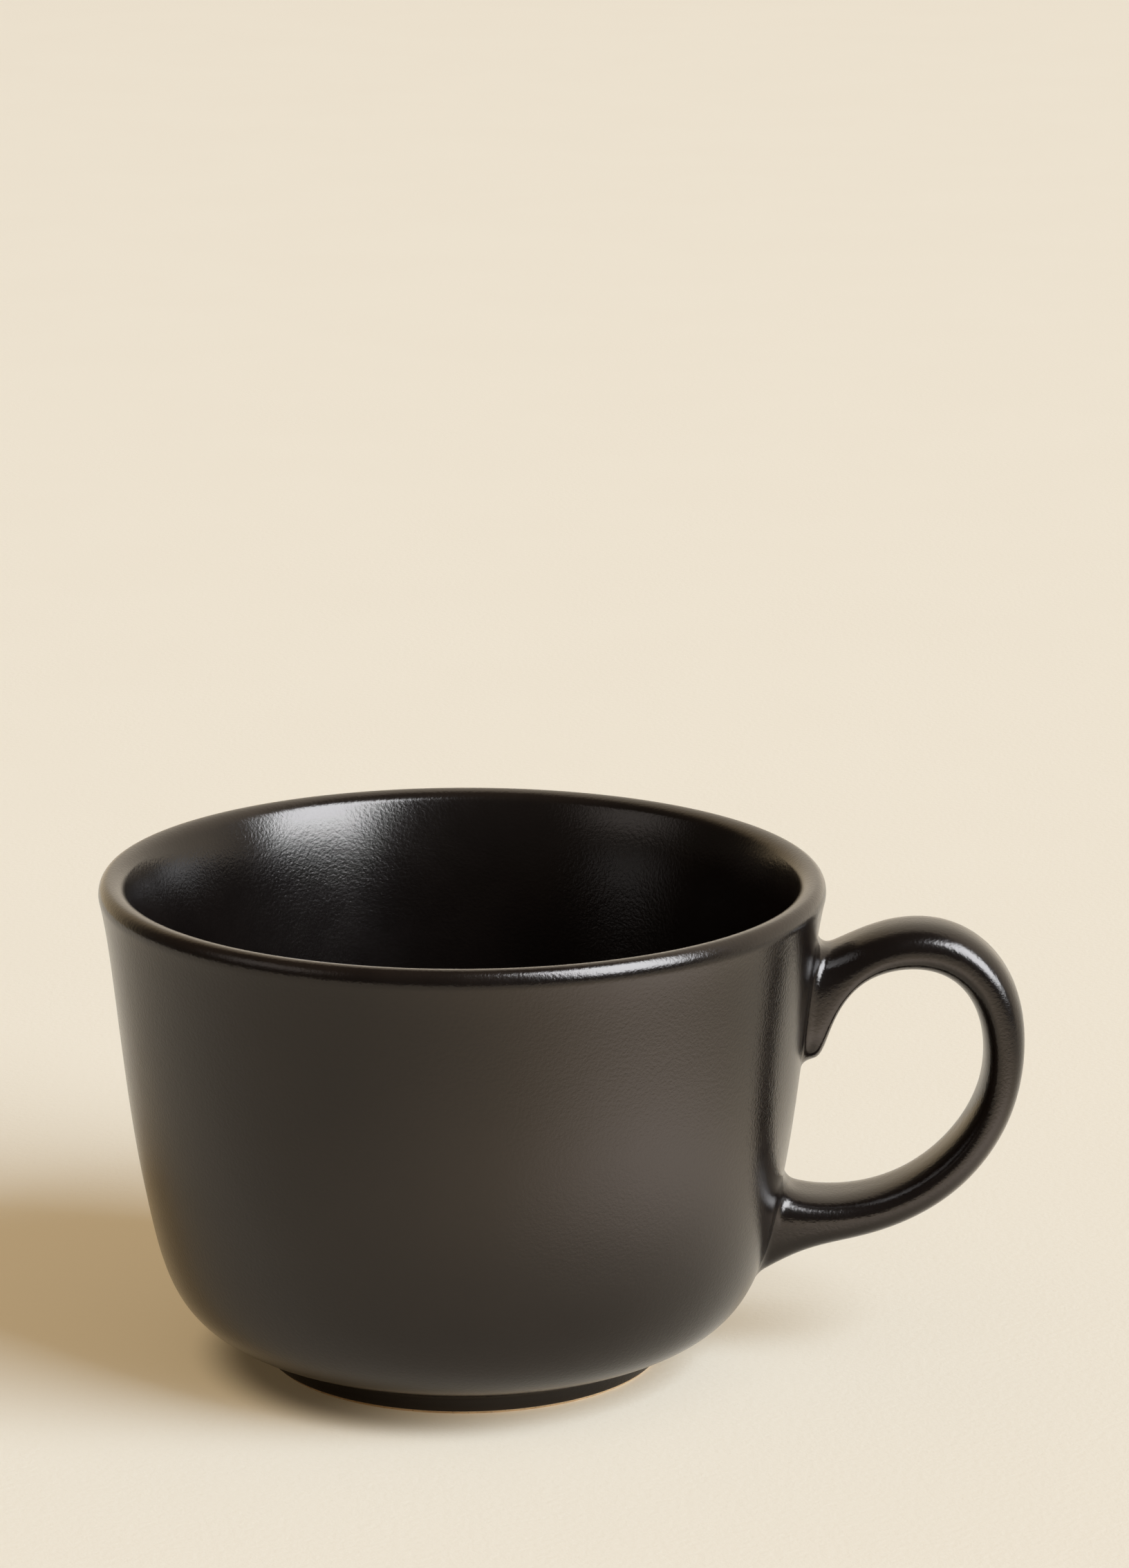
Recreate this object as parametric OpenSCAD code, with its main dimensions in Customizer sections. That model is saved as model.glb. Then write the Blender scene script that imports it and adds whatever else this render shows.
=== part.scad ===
// Wide breakfast cup: a glazed clay bowl on a foot ring, with a loop handle set on with slip.
// Millimetres, +Z up. The origin is the middle of the foot on the table, and the handle points along +X.

/* [Bowl] */
// Diameter over the rim, glaze included
rim_d = 110; // [102:0.5:118]
// Height from the table to the top of the lip
cup_h = 75.6; // [70:0.2:84]
// Diameter where the bottom turns into the wall
belly_d = 98; // [92:0.5:104]
// Height where the bottom turns into the wall
belly_h = 28.8; // [24:0.2:34]
// Lean of the wall away from upright at the belly, in degrees
belly_lean = 10.6; // [6:0.2:14]
// Thickness of the rounded lip
lip_t = 4.2; // [3.6:0.1:5.2]
// Height of the lip's rounding
lip_round_h = 2.2; // [1.8:0.1:2.8]
// Width of the lip's rounding outside, from its top to its widest place
lip_round_w = 1.5; // [1.2:0.1:2.2]
// Lean of the wall away from upright as it flares into the lip, in degrees
lip_lean = 14; // [8:0.5:20]
// Lean of the inside away from upright as it flares into the lip, in degrees
lip_inner_lean = 24; // [14:0.5:28]
// Thickness of the wall at the belly, glaze included
wall_t = 5.1; // [4:0.1:6]
// Thickness of the floor, glaze included
floor_t = 5.2; // [4:0.1:7]
// Diameter of the flat middle of the floor inside
floor_flat_d = 34; // [20:1:44]

/* [Foot] */
// Diameter over the foot ring, glaze included
foot_d = 61; // [56:0.5:66]
// Height of the foot ring to the underside of the bowl
foot_h = 3.9; // [3.2:0.1:5]
// Width of the foot ring
foot_ring_w = 4.2; // [3.4:0.1:6]
// Depth of the recess inside the foot ring, over its glaze
recess_h = 2.6; // [1.8:0.1:3.2]
// Height of the clay edge that is wiped bare of glaze
bare_edge_h = 0.5; // [0.3:0.05:0.8]
// Slope of the underside where it leaves the foot ring, in degrees
underside_slope = 15.5; // [10:0.5:22]

/* [Glaze and slip] */
// Thickness of the glaze coat
glaze_t = 0.4; // [0.25:0.05:0.6]
// Thickness of the slip bed under each root of the handle
slip_t = 0.4; // [0.25:0.05:0.6]

/* [Handle] */
// Width of the finger gap, from the wall to the arm
finger_gap_w = 28.2; // [24:0.1:34]
// Height of the finger gap
finger_gap_h = 35.8; // [30:0.2:38]
// Height of the finger gap's lowest point above the table
finger_gap_z = 25.5; // [23:0.1:28]
// Width of the handle's strap across the loop
strap_w = 13; // [9:0.2:16]
// Thickness of the strap at the crown of the loop
crown_t = 8; // [6:0.1:10]
// Thickness of the strap at the far side of the loop
side_t = 6.5; // [5:0.1:9]
// Thickness of the strap along the lower sweep
sweep_t = 7.1; // [6:0.1:10]
// Height of the upper root on the wall, its tongue included
upper_root_h = 18; // [14:0.2:21]
// Height of the lower root on the wall, its tail included
lower_root_h = 15.2; // [12:0.2:17]
// How much each root spreads sideways where it meets the wall
root_spread = 0.8; // [0:0.1:1.6]
// How far the slip bed shows around each root
slip_rim = 0.6; // [0.2:0.1:1.2]

/* [Hidden] */
$fn = 144;

clay_color = "tan";
slip_color = "burlywood";
glaze_color = [0.15, 0.13, 0.12];

rim_r = rim_d / 2;
foot_r = foot_d / 2;
belly_r = belly_d / 2;

// Steps along each curved stretch of the bowl's outline
wall_steps = 14;
lip_steps = 14;
fillet_steps = 5;

// Reach of the curves' tangents, which sets how full each bend is
under_reach = 12.5;
belly_reach_down = 15.6;
belly_reach_up = 16.6;
lip_reach = 8;
lip_inner_reach = 9;
inner_reach_up = 15;
inner_reach_down = 15;
floor_reach = 15;

// Bend between the foot's side and the underside: how far it runs out and up, and its tangents
foot_bend_w = 2.2;
foot_bend_h = 1.7;
foot_bend_reach = 1;
// Bend between the recess's side and its ceiling
recess_bend_w = 1.6;
recess_bend_h = 0.9;
recess_bend_reach = 0.6;
// Rounding of the bare edge, as a share of its height
edge_round_share = 0.8;

// Steps along the handle and around its section
loop_steps = 48;
section_sides = 20;
// Samples along each edge of the handle, for finding where it meets the wall
edge_samples = 240;
// How deep the handle's blank runs into the wall before it is trimmed to the wall
root_sink = 3;
// Heights where the blank starts and stops in the wall, as shares of the finger gap
upper_root_up = 0.638;
lower_root_up = 0.085;
// How much further down the tail of the blank runs inside the wall
tail_run = 3.5;
// Squareness of the section: 2 is an oval, and more is a rounded block
strap_square = 2.5;
root_square = 3.4;

// Corner radius of a slip bed's outline
slip_corner = 4;

// Curves
function along(angle) = [cos(angle), sin(angle)];
function bezier(a, b, c, d, u) =
    pow(1 - u, 3) * a + 3 * u * pow(1 - u, 2) * b + 3 * u * u * (1 - u) * c + pow(u, 3) * d;
function curve(a, b, c, d, steps) = [for (i = [0:steps]) bezier(a, b, c, d, i / steps)];
function without_last(list) = [for (i = [0:len(list) - 2]) list[i]];
function reversed(list) = [for (i = [len(list) - 1:-1:0]) list[i]];
function unit(v) = v / norm(v);

// An outline moved to its left by a distance, square to its run
function run_at(path, i) = unit(path[min(i + 1, len(path) - 1)] - path[max(i - 1, 0)]);
function moved(path, distance) =
    [for (i = [0:len(path) - 1]) let (run = run_at(path, i)) path[i] + distance * [-run[1], run[0]]];

// Lip: part of a narrow ellipse from the outer wall to the top, and of a wider one from there to the inner wall
lip_inner_w = lip_t - lip_round_w;
lip_middle = [rim_r - lip_round_w, cup_h - lip_round_h];
function lip_w(angle) = angle > lip_top ? lip_inner_w : lip_round_w;
function lip_point(angle) = lip_middle + [lip_w(angle) * cos(angle), lip_round_h * sin(angle)];
function lip_run(angle) = unit([-lip_w(angle) * sin(angle), lip_round_h * cos(angle)]);
lip_start = -atan(tan(lip_lean) * lip_round_h / lip_round_w);
lip_top = 90;
lip_end = 180 - atan(tan(lip_inner_lean) * lip_round_h / lip_inner_w);

// Outer outline over the glaze, from the bare edge of the foot to the top of the lip
foot_corner = [foot_r, foot_h - foot_bend_h];
under_start = [foot_r + foot_bend_w, foot_h];
belly = [belly_r, belly_h];
belly_run = along(90 - belly_lean);
glaze_edge = [foot_r, bare_edge_h];
foot_bend = curve(foot_corner, foot_corner + [0, foot_bend_reach],
                  under_start - foot_bend_reach * along(underside_slope), under_start, fillet_steps);
bottom_bend = curve(under_start, under_start + under_reach * along(underside_slope),
                    belly - belly_reach_down * belly_run, belly, wall_steps);
upper_wall = curve(belly, belly + belly_reach_up * belly_run,
                   lip_point(lip_start) - lip_reach * lip_run(lip_start), lip_point(lip_start), wall_steps);
function lip_arc(from, to) = [for (i = [0:lip_steps]) lip_point(from + (to - from) * i / lip_steps)];
outer_outline = concat([glaze_edge], without_last(foot_bend), without_last(bottom_bend),
                       without_last(upper_wall), lip_arc(lip_start, lip_top));

// Inner outline over the glaze, from the top of the lip to the middle of the floor
floor_z = recess_h + floor_t;
inner_belly = belly + wall_t * [-belly_run[1], belly_run[0]];
floor_edge = [floor_flat_d / 2, floor_z];
inner_wall = curve(lip_point(lip_end), lip_point(lip_end) + lip_inner_reach * lip_run(lip_end),
                   inner_belly + inner_reach_up * belly_run, inner_belly, wall_steps);
inner_bend = curve(inner_belly, inner_belly - inner_reach_down * belly_run,
                   floor_edge + [floor_reach, 0], floor_edge, wall_steps);
inner_outline = concat(without_last(lip_arc(lip_top, lip_end)), without_last(inner_wall), inner_bend,
                       [[0, floor_z]]);

// The same outlines on the bare clay
whole_outline = concat(without_last(outer_outline), inner_outline);
clay_outline = moved(whole_outline, glaze_t);
top_index = len(outer_outline) - 1;
outer_clay = [for (i = [0:top_index]) clay_outline[i]];
inner_clay = concat([for (i = [top_index:len(clay_outline) - 2]) clay_outline[i]], [[0, floor_z - glaze_t]]);

// Recess inside the foot ring, over its glaze, from the bare edge to the middle
recess_r = foot_r - foot_ring_w;
recess_corner = [recess_r, recess_h - recess_bend_h];
recess_ceiling = [recess_r - recess_bend_w, recess_h];
recess_bend = curve(recess_corner, recess_corner + [0, recess_bend_reach],
                    recess_ceiling + [recess_bend_reach, 0], recess_ceiling, fillet_steps);
recess_outline = concat([[recess_r, bare_edge_h]], recess_bend, [[0, recess_h]]);
recess_moved = moved(recess_outline, -glaze_t);
recess_clay = concat(without_last(recess_moved), [[0, recess_h + glaze_t]]);

// Bare foot: a flat face on the table with small rounded edges
bare_out = outer_clay[0][0];
bare_in = recess_clay[0][0];
edge_round = bare_edge_h * edge_round_share;
function edge_point(middle_r, angle) = [middle_r, edge_round] + edge_round * along(angle);
function edge_arc(middle_r, from, to) =
    [for (i = [0:fillet_steps]) edge_point(middle_r, from + (to - from) * i / fillet_steps)];
bare_foot = concat(edge_arc(bare_in + edge_round, 180, 270), edge_arc(bare_out - edge_round, 270, 360));

// The bowl above its foot as a filled solid, grown past the clay by a distance.
// It trims what meets the wall.
module wall_solid(grown) {
    path = moved(outer_outline, glaze_t - grown);
    rotate_extrude()
        polygon(concat([[0, path[1][1]]], [for (i = [1:top_index]) path[i]], [[0, path[top_index][1]]]));
}

// Radius of the outer wall over the glaze at a height
wall_table = [for (p = outer_outline) [p[1], p[0]]];
function wall_r(z) = lookup(z, wall_table);

// Handle: rows of its gap edge and outer edge, and a smooth curve that runs near them
gap_wall_r = wall_r(finger_gap_z + finger_gap_h / 2);
// A row: its gap edge as shares of the finger gap, then the section's lean there in degrees, its thickness,
// how much wider than the strap it is to each side, and its squareness
function row(out, up, lean, thickness, spread, square) =
    let (gap = [gap_wall_r + out * finger_gap_w, finger_gap_z + up * finger_gap_h])
    concat(gap, gap + thickness * along(lean), [strap_w / 2 + spread, square]);
// A row sunk in the wall, from the height of its gap edge and a signed height to its outer edge
function root_row(z, height, spread) =
    [wall_r(z) - root_sink, z, wall_r(z + height) - root_sink, z + height, strap_w / 2 + spread, root_square];
upper_root_z = finger_gap_z + upper_root_up * finger_gap_h;
lower_root_z = finger_gap_z + lower_root_up * finger_gap_h;
handle_rows = [
    root_row(upper_root_z, upper_root_h, root_spread),
    row(0.118, 0.573, 95, upper_root_h * 0.925, root_spread, root_square),
    row(0.153, 0.76, 73.2, upper_root_h * 0.805, 0, strap_square),
    row(0.312, 0.975, 48.3, crown_t * 1.465, 0, strap_square),
    row(0.722, 1.03, 40.4, crown_t, 0, strap_square),
    row(0.984, 0.851, 13.3, side_t * 1.145, 0, strap_square),
    row(1.034, 0.467, -35.5, side_t, 0, strap_square),
    row(0.765, 0.153, -67.8, sweep_t, 0, strap_square),
    row(0.406, 0.003, -96.6, sweep_t, 0, strap_square),
    row(0.02, -0.012, -87.3, sweep_t, root_spread, root_square),
    root_row(lower_root_z, -lower_root_h - tail_run, root_spread)
];
last_row = len(handle_rows) - 1;

// Uniform cubic spline over the rows, with its ends mirrored so that it starts and stops on them
function row_at(i) = i < 0 ? 2 * handle_rows[0] - handle_rows[1] :
    i > last_row ? 2 * handle_rows[last_row] - handle_rows[last_row - 1] : handle_rows[i];
function spline(t) =
    let (i = min(floor(t), last_row - 1), u = t - i)
    (pow(1 - u, 3) * row_at(i - 1) + (3 * pow(u, 3) - 6 * u * u + 4) * row_at(i)
     + (-3 * pow(u, 3) + 3 * u * u + 3 * u + 1) * row_at(i + 1) + pow(u, 3) * row_at(i + 2)) / 6;

// One ring of the handle, shrunk all round by an inset
function power(v, p) = sign(v) * pow(abs(v), p);
function ring(step, inset) =
    let (s = spline(step / loop_steps * last_row),
         gap = [s[0], s[1]], far = [s[2], s[3]],
         middle = (gap + far) / 2,
         across = unit(far - gap),
         half_t = norm(far - gap) / 2 - inset,
         half_w = s[4] - inset,
         p = 2 / s[5])
    [for (j = [0:section_sides - 1])
        let (a = 360 * (j + 0.5) / section_sides, q = middle + half_t * power(sin(a), p) * across)
        [q[0], half_w * power(cos(a), p), q[1]]];

// Sides of a tube of rings
function tube_faces(rings) = [
    for (r = [0:rings - 2], j = [0:section_sides - 1], half = [0, 1])
        let (k = (j + 1) % section_sides, low = r * section_sides, high = low + section_sides)
        half == 0 ? [low + j, low + k, high + k] : [low + j, high + k, high + j]];
function tube_points(inset) = [for (step = [0:loop_steps]) each ring(step, inset)];
rings = loop_steps + 1;

// The handle's blank before it is trimmed to the wall, closed at both ends
module blank(inset) {
    first_cap = [for (j = [section_sides - 1:-1:0]) j];
    last_cap = [for (j = [0:section_sides - 1]) loop_steps * section_sides + j];
    polyhedron(tube_points(inset), concat(tube_faces(rings), [first_cap, last_cap]));
}

// The coat on the blank: a hollow tube between the outer surface and one that is inset
module coat_blank(inset) {
    count = rings * section_sides;
    inner_faces = [for (f = tube_faces(rings)) [f[0] + count, f[2] + count, f[1] + count]];
    end_faces = [
        for (low = [0, count - section_sides], j = [0:section_sides - 1], half = [0, 1])
            let (k = (j + 1) % section_sides, a = low + j, b = low + k, c = b + count, d = a + count,
                 f = half == 0 ? [a, d, c] : [a, c, b])
            low == 0 ? f : reversed(f)];
    polyhedron(concat(tube_points(0), tube_points(inset)), concat(tube_faces(rings), inner_faces, end_faces));
}

// Heights where an edge of the handle comes out of the wall and goes back into it
function sample(edge, i) = let (s = spline(i / edge_samples * last_row)) [s[edge], s[edge + 1]];
function heights_outside(edge) =
    [for (i = [0:edge_samples]) let (p = sample(edge, i)) if (p[0] > wall_r(p[1])) p[1]];
gap_heights = heights_outside(0);
far_heights = heights_outside(2);
upper_bed = [gap_heights[0], far_heights[0]];
lower_bed = [far_heights[len(far_heights) - 1], gap_heights[len(gap_heights) - 1]];

// Slip bed's outline, run through the wall at the handle
module slip_window(heights) {
    w = strap_w + 2 * root_spread + 2 * slip_rim;
    h = heights[1] - heights[0] + 2 * slip_rim;
    translate([0, 0, heights[0] - slip_rim]) rotate([90, 0, 90]) linear_extrude(rim_d) {
        translate([-w / 2, slip_corner]) square([w, h - 2 * slip_corner]);
        translate([slip_corner - w / 2, 0]) square([w - 2 * slip_corner, h]);
        for (x = [slip_corner - w / 2, w / 2 - slip_corner], y = [slip_corner, h - slip_corner])
            translate([x, y]) circle(slip_corner);
    }
}

module cup_body() {
    inside = [for (i = [1:len(inner_clay) - 1]) inner_clay[i]];
    color(clay_color) rotate_extrude() polygon(concat(bare_foot, outer_clay, inside, reversed(recess_clay)));
}
module handle() {
    color(clay_color) difference() {
        blank(glaze_t);
        wall_solid(slip_t);
    }
}
module slip_bed(heights) {
    intersection() {
        slip_window(heights);
        difference() {
            wall_solid(slip_t);
            wall_solid(0);
        }
    }
}
module upper_slip_joint() {
    color(slip_color) slip_bed(upper_bed);
}
module lower_slip_joint() {
    color(slip_color) slip_bed(lower_bed);
}
module outer_glaze() {
    color(glaze_color) difference() {
        rotate_extrude() polygon(concat(outer_outline, reversed(outer_clay)));
        slip_window(upper_bed);
        slip_window(lower_bed);
    }
}
module inner_glaze() {
    color(glaze_color) rotate_extrude() polygon(concat(inner_outline, reversed(inner_clay)));
}
module handle_glaze() {
    color(glaze_color) difference() {
        coat_blank(glaze_t);
        wall_solid(slip_t);
    }
}
module base_glaze() {
    color(glaze_color) rotate_extrude() polygon(concat(recess_outline, reversed(recess_clay)));
}

cup_body();
handle();
upper_slip_joint();
lower_slip_joint();
outer_glaze();
inner_glaze();
handle_glaze();
base_glaze();
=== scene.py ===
"""A wide breakfast cup in satin black glaze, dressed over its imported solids.

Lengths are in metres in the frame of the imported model: +Z up, the table at zero, the handle along +X.
"""
import logging
import math
from dataclasses import dataclass
from enum import Enum

import bmesh
import bpy
import numpy as np
from bpy.types import ID, Light, Material, Mesh, Node, NodeSocket, NodeTree, Object
from mathutils import Euler, Matrix, Vector


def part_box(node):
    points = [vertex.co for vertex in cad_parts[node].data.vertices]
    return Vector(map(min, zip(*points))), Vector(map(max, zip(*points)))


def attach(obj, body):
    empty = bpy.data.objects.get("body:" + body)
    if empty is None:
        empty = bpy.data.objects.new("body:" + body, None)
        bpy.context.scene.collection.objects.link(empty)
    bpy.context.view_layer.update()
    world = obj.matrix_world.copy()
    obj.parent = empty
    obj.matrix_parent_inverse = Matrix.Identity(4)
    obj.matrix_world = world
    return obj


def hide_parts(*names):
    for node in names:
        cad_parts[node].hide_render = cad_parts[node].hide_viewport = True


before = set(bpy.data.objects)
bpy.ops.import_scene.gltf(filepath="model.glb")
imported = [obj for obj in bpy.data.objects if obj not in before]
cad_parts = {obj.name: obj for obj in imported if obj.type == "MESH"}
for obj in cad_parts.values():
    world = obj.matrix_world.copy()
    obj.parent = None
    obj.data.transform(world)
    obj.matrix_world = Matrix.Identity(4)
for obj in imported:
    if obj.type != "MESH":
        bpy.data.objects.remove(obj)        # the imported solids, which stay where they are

MM = 0.001
BODY = "root"
LIP_TOP = 90.0
LOG = logging.getLogger("breakfast_cup")

Array = np.ndarray
Colour = tuple[float, float, float]
Triple = tuple[float, float, float]


class Slot(Enum):
    """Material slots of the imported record."""

    CLAY = "clay"
    SLIP = "slip"
    GLAZE = "black_glaze"


class Root(Enum):
    """The two places where the handle meets the wall."""

    UPPER = "upper"
    LOWER = "lower"


def along(degrees: float) -> Array:
    """Unit vector in the outline's plane at an angle from the outward direction."""
    return np.array([math.cos(math.radians(degrees)), math.sin(math.radians(degrees))])


def unit(vectors: Array) -> Array:
    """The vectors scaled to a length of one, along their last axis."""
    return vectors / np.linalg.norm(vectors, axis=-1, keepdims=True)


def bezier(a: Array, b: Array, c: Array, d: Array, steps: int) -> Array:
    """Points along a cubic curve from a to d, which leaves a towards b and comes to d from c."""
    u = np.linspace(0.0, 1.0, steps + 1).reshape((-1,) + (1,) * np.ndim(a))
    return (1 - u) ** 3 * a + 3 * u * (1 - u) ** 2 * b + 3 * u * u * (1 - u) * c + u ** 3 * d


def moved(path: Array, distance: float) -> Array:
    """An outline moved to its left by a distance, square to its run."""
    run = unit(np.gradient(path, axis=0))
    return path + distance * np.stack([-run[:, 1], run[:, 0]], axis=1)


class Wiring:
    """Adds nodes to one node tree, sets their inputs and links them."""

    def __init__(self, tree: NodeTree) -> None:
        """Starts on a tree and keeps what is in it."""
        self.tree = tree

    @classmethod
    def fresh(cls, owner: ID) -> "Wiring":
        """Starts on the emptied tree of a material, light or world.

        Args:
            owner: What the tree belongs to.

        Returns:
            The wiring.
        """
        owner.use_nodes = True
        owner.node_tree.nodes.clear()
        return cls(owner.node_tree)

    def node(self, kind: str, inputs: dict | None = None, **settings: object) -> Node:
        """Adds a node.

        Args:
            kind: Type of the node.
            inputs: A value or an output socket for each input, by its name or number.
            settings: Values of the node's own properties.

        Returns:
            The new node.
        """
        made = self.tree.nodes.new(kind)
        for name, value in settings.items():
            setattr(made, name, value)
        for key, value in (inputs or {}).items():
            self.feed(made.inputs[key], value)
        return made

    def feed(self, socket: NodeSocket, value: object) -> None:
        """Links an output to an input socket, or sets the socket to a plain value.

        Args:
            socket: The input socket.
            value: An output socket or a plain value.
        """
        if isinstance(value, NodeSocket):
            self.tree.links.new(value, socket)
        else:
            socket.default_value = value

    def math(self, operation: str, *values: object) -> NodeSocket:
        """The output of a new Math node with the given inputs."""
        return self.node("ShaderNodeMath", dict(enumerate(values)), operation=operation).outputs[0]

    def vector(self, operation: str, inputs: dict, output: str = "Vector") -> NodeSocket:
        """An output of a new Vector Math node with the given inputs."""
        return self.node("ShaderNodeVectorMath", inputs, operation=operation).outputs[output]

    def ramp(self, value: object, low: float, high: float) -> NodeSocket:
        """A smooth step from 0 at one value to 1 at another."""
        inputs = {"Value": value, "From Min": low, "From Max": high}
        return self.node("ShaderNodeMapRange", inputs, interpolation_type="SMOOTHSTEP").outputs[0]

    def blend(self, share: object, first: object, second: object) -> NodeSocket:
        """Mixes two colours by a share.

        Args:
            share: Share of the second colour.
            first: Colour at a share of 0.
            second: Colour at a share of 1.

        Returns:
            The mixed colour.
        """
        made = self.node("ShaderNodeMix", data_type="RGBA")
        for key, value in (("Factor_Float", share), ("A_Color", first), ("B_Color", second)):
            socket = next(s for s in made.inputs if s.identifier == key)
            self.feed(socket, (*value, 1.0) if isinstance(value, tuple) else value)
        return next(s for s in made.outputs if s.identifier == "Result_Color")


@dataclass(frozen=True)
class Noise:
    """A layer of the fired grain: its detail, and the values that become 0 and 1."""

    detail: float
    roughness: float
    low: float
    high: float


class SurfaceGroups:
    """Shader node groups that the finishes share."""

    layers = {"Tooth": Noise(2.0, 0.6, 0.25, 0.75), "Mottle": Noise(3.0, 0.55, 0.3, 0.7)}

    def __init__(self) -> None:
        """Builds each group once."""
        self.grain = self.make_grain()
        self.band = self.make_band()

    @staticmethod
    def start(name: str, inputs: list[str], outputs: list[str]) -> tuple[Wiring, dict, dict]:
        """Starts a shader node group.

        Args:
            name: Name of the group.
            inputs: Name of each value that goes in.
            outputs: Name of each value that comes out.

        Returns:
            The wiring, the group's inputs by name, and the sockets to feed by name.
        """
        tree = bpy.data.node_groups.new(name, "ShaderNodeTree")
        for way, keys in (("INPUT", inputs), ("OUTPUT", outputs)):
            for key in keys:
                tree.interface.new_socket(key, in_out=way, socket_type="NodeSocketFloat")
        wiring = Wiring(tree)
        given, wanted = wiring.node("NodeGroupInput").outputs, wiring.node("NodeGroupOutput").inputs
        return wiring, {s.name: s for s in given}, {s.name: s for s in wanted}

    def make_grain(self) -> NodeTree:
        """Fired grain: a fine tooth over a slow mottle, both from 0 to 1.

        Returns:
            The node group, with each layer's scale per metre going in and its value coming out.
        """
        scales = [f"{name} per metre" for name in self.layers]
        wiring, given, wanted = self.start("Fired grain", scales, list(self.layers))
        place = wiring.node("ShaderNodeTexCoord").outputs["Object"]
        for name, noise in self.layers.items():
            texture = wiring.node("ShaderNodeTexNoise", {
                "Vector": place, "Scale": given[f"{name} per metre"], "Detail": noise.detail,
                "Roughness": noise.roughness})
            wiring.feed(wanted[name], wiring.ramp(texture.outputs[0], noise.low, noise.high))
        return wiring.tree

    def add_grain(self, wiring: Wiring, tooth_size: float, mottle_size: float) -> list[NodeSocket]:
        """The tooth and the mottle of fired grain that is added to a material, by their sizes."""
        scales = {"Tooth per metre": 1.0 / tooth_size, "Mottle per metre": 1.0 / mottle_size}
        return list(wiring.node("ShaderNodeGroup", scales, node_tree=self.grain).outputs)

    def make_band(self) -> NodeTree:
        """Level band: a mask that is 1 at one height of the cup and fades out above and below it.

        Returns:
            The node group, with the height and reach in metres going in and Mask coming out.
        """
        wiring, given, wanted = self.start("Level band", ["Height", "Reach"], ["Mask"])
        place = wiring.node("ShaderNodeTexCoord").outputs["Object"]
        height = wiring.node("ShaderNodeSeparateXYZ", {0: place}).outputs["Z"]
        away = wiring.math("ABSOLUTE", wiring.math("SUBTRACT", height, given["Height"]))
        wiring.feed(wanted["Mask"], wiring.ramp(wiring.math("DIVIDE", away, given["Reach"]), 1.0, 0.0))
        return wiring.tree


@dataclass(frozen=True)
class ThinEdge:
    """An edge where the glaze is thin: its height, its reach up and down, and a share of the thin colour."""

    height: float
    reach: float
    share: float


@dataclass(frozen=True)
class GlazeFinish:
    """Satin black glaze, a little browner where it thins over an edge."""

    name: str = "satin_black_glaze"
    deep: Colour = (0.0050, 0.0032, 0.0025)
    warm: Colour = (0.0066, 0.0042, 0.0032)
    thin: Colour = (0.020, 0.0125, 0.008)
    smooth: float = 0.155
    dull: float = 0.215
    tooth_share: float = 0.4
    refraction: float = 1.46
    tint: Colour = (1.0, 0.93, 0.87)
    tooth_size: float = 0.5 * MM
    tooth_depth: float = 0.014 * MM
    swell_size: float = 14.0 * MM
    swell_depth: float = 0.02 * MM
    thin_edges: tuple[ThinEdge, ...] = ()

    def make(self, groups: SurfaceGroups) -> Material:
        """Builds the material.

        Args:
            groups: The shared node groups.

        Returns:
            The material.
        """
        material = bpy.data.materials.new(self.name)
        wiring = Wiring.fresh(material)
        tooth, mottle = groups.add_grain(wiring, self.tooth_size, self.swell_size)
        colour = wiring.blend(mottle, self.deep, self.warm)
        for edge in self.thin_edges:
            band = wiring.node("ShaderNodeGroup", {"Height": edge.height, "Reach": edge.reach}, node_tree=groups.band)
            share = wiring.math("MULTIPLY_ADD", mottle, edge.share, edge.share)
            colour = wiring.blend(wiring.math("MULTIPLY", band.outputs["Mask"], share), colour, self.thin)
        slow = wiring.math("MULTIPLY", mottle, 1.0 - self.tooth_share)
        spread = wiring.math("MULTIPLY_ADD", tooth, self.tooth_share, slow)
        swell = wiring.node("ShaderNodeBump", {"Height": mottle, "Distance": self.swell_depth})
        bump = wiring.node("ShaderNodeBump", {
            "Height": tooth, "Distance": self.tooth_depth, "Normal": swell.outputs[0]})
        rough = wiring.math("MULTIPLY_ADD", spread, self.dull - self.smooth, self.smooth)
        shader = wiring.node("ShaderNodeBsdfPrincipled", {
            "Base Color": colour, "Roughness": rough, "IOR": self.refraction,
            "Specular Tint": (*self.tint, 1.0), "Normal": bump.outputs[0]})
        wiring.node("ShaderNodeOutputMaterial", {"Surface": shader.outputs[0]})
        return material


@dataclass(frozen=True)
class ClayFinish:
    """Fired stoneware without glaze: matte, sandy and slightly uneven in colour."""

    name: str
    pale: Colour
    toasted: Colour
    tooth_size: float = 0.35 * MM
    tooth_depth: float = 0.03 * MM
    patch_size: float = 5.0 * MM
    speck_start: float = 0.8
    speck_shade: float = 0.45
    roughness: float = 0.75
    rough_spread: float = 0.15

    def make(self, groups: SurfaceGroups) -> Material:
        """Builds the material.

        Args:
            groups: The shared node groups.

        Returns:
            The material.
        """
        material = bpy.data.materials.new(self.name)
        wiring = Wiring.fresh(material)
        tooth, mottle = groups.add_grain(wiring, self.tooth_size, self.patch_size)
        dark = tuple(self.speck_shade * c for c in self.toasted)
        patches = wiring.blend(mottle, self.pale, self.toasted)
        bump = wiring.node("ShaderNodeBump", {"Height": tooth, "Distance": self.tooth_depth})
        shader = wiring.node("ShaderNodeBsdfPrincipled", {
            "Base Color": wiring.blend(wiring.ramp(tooth, self.speck_start, 1.0), patches, dark),
            "Roughness": wiring.math("MULTIPLY_ADD", tooth, self.rough_spread, self.roughness),
            "Normal": bump.outputs[0]})
        wiring.node("ShaderNodeOutputMaterial", {"Surface": shader.outputs[0]})
        return material


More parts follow.
